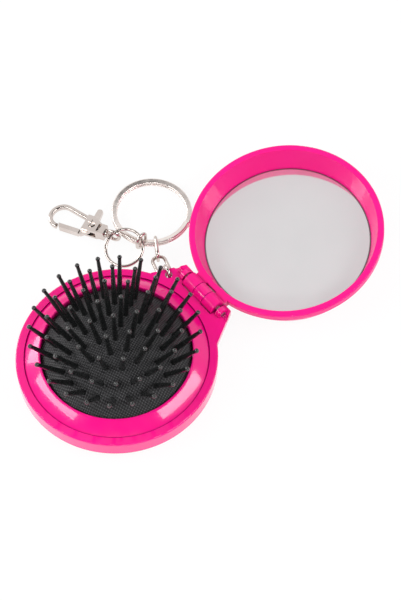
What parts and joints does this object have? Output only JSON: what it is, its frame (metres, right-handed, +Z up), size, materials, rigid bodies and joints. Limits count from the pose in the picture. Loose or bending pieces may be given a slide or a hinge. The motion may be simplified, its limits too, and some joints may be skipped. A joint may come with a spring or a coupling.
{
  "type": "hair_brush",
  "caption": "Round pop-up hairbrush compact with a hinged mirror lid, a domed rubber bristle pad that folds into the base, and a chain with a split ring and a swivel trigger clasp.",
  "frame": {"origin": "centre of the finger hole in the base's back, on the plane that the base stands on", "axes": "+X from the base towards the open lid, +Y towards the key lug, +Z up out of the brush"},
  "size_m": [0.1383, 0.0977, 0.0361],
  "materials": {
    "pink_plastic": "glossy",
    "black_rubber": "matte",
    "black_nylon": "satin",
    "button_plastic": "matte",
    "mirror_glass": "polished",
    "foam_tape": "matte",
    "nickel": "polished",
    "pin_steel": "satin"
  },
  "bodies": {
    "base": {"base_shell": "pink_plastic", "brush_collar": "pink_plastic", "cushion_pad": "black_rubber", "hinge_pin": "pin_steel"},
    "plunger": {"push_button": "button_plastic", "bristle_centre": "black_nylon"},
    "ring_1": {"bristles_ring_1": "black_nylon"},
    "ring_2": {"bristles_ring_2": "black_nylon"},
    "ring_3": {"bristles_ring_3": "black_nylon"},
    "ring_4": {"bristles_ring_4": "black_nylon"},
    "lid": {"lid_shell": "pink_plastic", "mirror": "mirror_glass", "mirror_tape": "foam_tape"},
    "chain_1": {"chain_link_1": "nickel"},
    "chain_2": {"chain_link_2": "nickel"},
    "chain_3": {"chain_link_3": "nickel"},
    "key_ring": {"split_ring": "nickel"},
    "clasp_link": {"clasp_link": "nickel"},
    "jump_ring": {"clasp_ring": "nickel"},
    "swivel": {"swivel_eye": "nickel"},
    "clasp": {"clasp_body": "nickel", "clasp_rivet": "nickel", "clasp_spring": "pin_steel"},
    "lever": {"clasp_lever": "nickel"}
  },
  "joints": [
    {"name": "lid_hinge", "type": "hinge", "parent": "base", "child": "lid", "pos_m": [0.0363, 0, 0.01095], "axis": [0, -1, 0], "range_deg": [0, 171.9]},
    {"name": "plunger_slide", "type": "slide", "parent": "base", "child": "plunger", "axis": [0, 0, -1], "range_m": [0, 0.017], "deforming": ["cushion_pad"]},
    {"name": "ring_1_slide", "type": "slide", "parent": "base", "child": "ring_1", "axis": [0, 0, -1], "range_m": [0, 0.01694]},
    {"name": "ring_2_slide", "type": "slide", "parent": "base", "child": "ring_2", "axis": [0, 0, -1], "range_m": [0, 0.0162]},
    {"name": "ring_3_slide", "type": "slide", "parent": "base", "child": "ring_3", "axis": [0, 0, -1], "range_m": [0, 0.01346]},
    {"name": "ring_4_slide", "type": "slide", "parent": "base", "child": "ring_4", "axis": [0, 0, -1], "range_m": [0, 0.00873]},
    {"name": "link_1_swing", "type": "hinge", "parent": "base", "child": "chain_1", "pos_m": [0.03279, 0.01475, 0.0096], "axis": [0.9137, -0.4064, 0], "range_deg": [-12, 20]},
    {"name": "link_2_turn", "type": "hinge", "parent": "chain_1", "child": "chain_2", "pos_m": [0.03435, 0.01926, 0.00443], "axis": [0.0855, 0.247, 0.9652], "range_deg": [0, 8]},
    {"name": "link_3_swing", "type": "hinge", "parent": "chain_2", "child": "chain_3", "pos_m": [0.03719, 0.02596, 0.00305], "axis": [0.848, -0.5299, 0], "range_deg": [0, 15]},
    {"name": "key_ring_swing", "type": "hinge", "parent": "chain_3", "child": "key_ring", "pos_m": [0.03952, 0.02969, 0.00305], "axis": [0.848, -0.5299, 0], "range_deg": [0, 25]},
    {"name": "clasp_link_swing", "type": "hinge", "parent": "key_ring", "child": "clasp_link", "pos_m": [0.03596, 0.03336, 0.00305], "axis": [-0.2019, 0.9794, 0], "range_deg": [0, 12]},
    {"name": "jump_ring_swing", "type": "hinge", "parent": "clasp_link", "child": "jump_ring", "pos_m": [0.03596, 0.03336, 0.00485], "axis": [-0.2019, 0.9794, 0], "range_deg": [0, 12]},
    {"name": "eye_swing", "type": "hinge", "parent": "jump_ring", "child": "swivel", "pos_m": [0.02979, 0.04108, 0.00411], "axis": [0.8949, 0.4462, 0], "range_deg": [0, 20]},
    {"name": "clasp_swivel", "type": "hinge", "parent": "swivel", "child": "clasp", "pos_m": [0.02979, 0.04108, 0.00411], "axis": [-0.4438, 0.89, -0.1045], "continuous": true},
    {"name": "trigger", "type": "hinge", "parent": "clasp", "child": "lever", "pos_m": [0.02669, 0.04909, 0.00321], "axis": [0.0466, -0.0935, -0.9945], "range_deg": [0, 20], "stiffness_Nm_per_rad": 0.0015, "springref_deg": -5.73}
  ],
  "couplings": [
    {"joint": "plunger_slide", "follows": "lid_hinge", "m_per_rad": 0.0056662},
    {"joint": "ring_1_slide", "follows": "lid_hinge", "m_per_rad": 0.0056463},
    {"joint": "ring_2_slide", "follows": "lid_hinge", "m_per_rad": 0.0053996},
    {"joint": "ring_3_slide", "follows": "lid_hinge", "m_per_rad": 0.0044863},
    {"joint": "ring_4_slide", "follows": "lid_hinge", "m_per_rad": 0.0029098}
  ]
}
